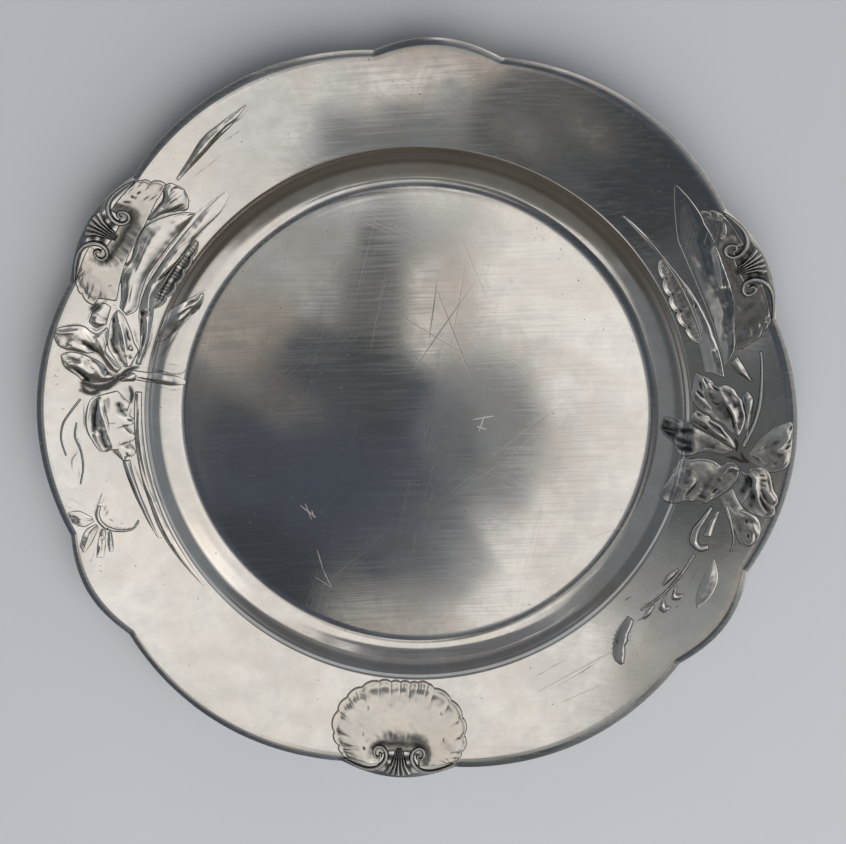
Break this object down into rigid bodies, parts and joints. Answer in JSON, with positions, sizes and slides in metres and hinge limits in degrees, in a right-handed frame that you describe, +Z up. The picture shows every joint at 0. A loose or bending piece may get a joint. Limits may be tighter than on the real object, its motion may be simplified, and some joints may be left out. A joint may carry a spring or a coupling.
{
  "type": "pewter charger",
  "caption": "Round lobed pewter charger: a flat-bottomed well inside a broad sloping rim, with cast shells, scrolls, leaf sprays and an insect in relief on the rim.",
  "frame": {"origin": "middle of the resting plane, under the centre of the well", "axes": "+Z up out of the well; -Y towards the lobe of the whole shell, which is the nearest to the viewer in the picture; +X to the viewer's right"},
  "size_m": [0.32, 0.32, 0.0214],
  "materials": {
    "body_pewter": "worn satin pewter, greyed, with fine scratches and pits",
    "shell_pewter": "satin pewter, dark patina round the edges and between the flutes",
    "clasp_pewter": "rubbed bright on the crests, dark patina in the hollows",
    "spray_pewter": "rubbed bright on the ridges, dark patina in the hollows",
    "insect_pewter": "satin pewter, dark patina in the hollows"
  },
  "bodies": {
    "root": {"plate": "body_pewter", "bottom_shell": "shell_pewter", "left_shell": "shell_pewter", "right_shell": "shell_pewter", "bottom_scroll_right": "clasp_pewter", "bottom_scroll_left": "clasp_pewter", "bottom_palmette": "clasp_pewter", "left_scroll_lower": "clasp_pewter", "left_scroll_upper": "clasp_pewter", "left_palmette": "clasp_pewter", "right_scroll_upper": "clasp_pewter", "right_scroll_lower": "clasp_pewter", "right_palmette": "clasp_pewter", "left_tip_leaf": "spray_pewter", "left_curled_leaf": "spray_pewter", "left_inner_leaf": "spray_pewter", "left_calyx": "spray_pewter", "left_long_leaf": "spray_pewter", "left_far_leaf": "spray_pewter", "left_long_tip": "spray_pewter", "left_root_blade": "spray_pewter", "left_pod": "spray_pewter", "left_wall_leaf": "spray_pewter", "left_wall_tendril": "spray_pewter", "left_toothed_leaf": "spray_pewter", "left_bud": "spray_pewter", "left_outer_reed": "spray_pewter", "left_inner_reed": "spray_pewter", "left_tendril_long": "spray_pewter", "left_tendril_short": "spray_pewter", "dragonfly_body": "insect_pewter", "dragonfly_wing_1": "insect_pewter", "dragonfly_wing_2": "insect_pewter", "dragonfly_wing_3": "insect_pewter", "dragonfly_wing_4": "insect_pewter", "right_broad_leaf": "spray_pewter", "right_folded_tip": "spray_pewter", "right_ridge_blade": "spray_pewter", "right_pod": "spray_pewter", "right_stem": "spray_pewter", "right_upper_leaf": "spray_pewter", "right_middle_leaf": "spray_pewter", "right_wall_leaf": "spray_pewter", "right_small_leaf": "spray_pewter", "right_round_leaf": "spray_pewter", "right_lobed_leaf": "spray_pewter", "right_lower_leaf": "spray_pewter", "right_curved_stem": "spray_pewter", "right_drooping_leaf": "spray_pewter", "right_hook_sprout": "spray_pewter", "right_inner_sprout": "spray_pewter", "sprig_stem": "spray_pewter", "sprig_bud_1": "spray_pewter", "sprig_bud_2": "spray_pewter", "sprig_bud_3": "spray_pewter", "sprig_bud_4": "spray_pewter", "long_bud": "spray_pewter", "faint_leaf": "spray_pewter"}
  },
  "joints": []
}
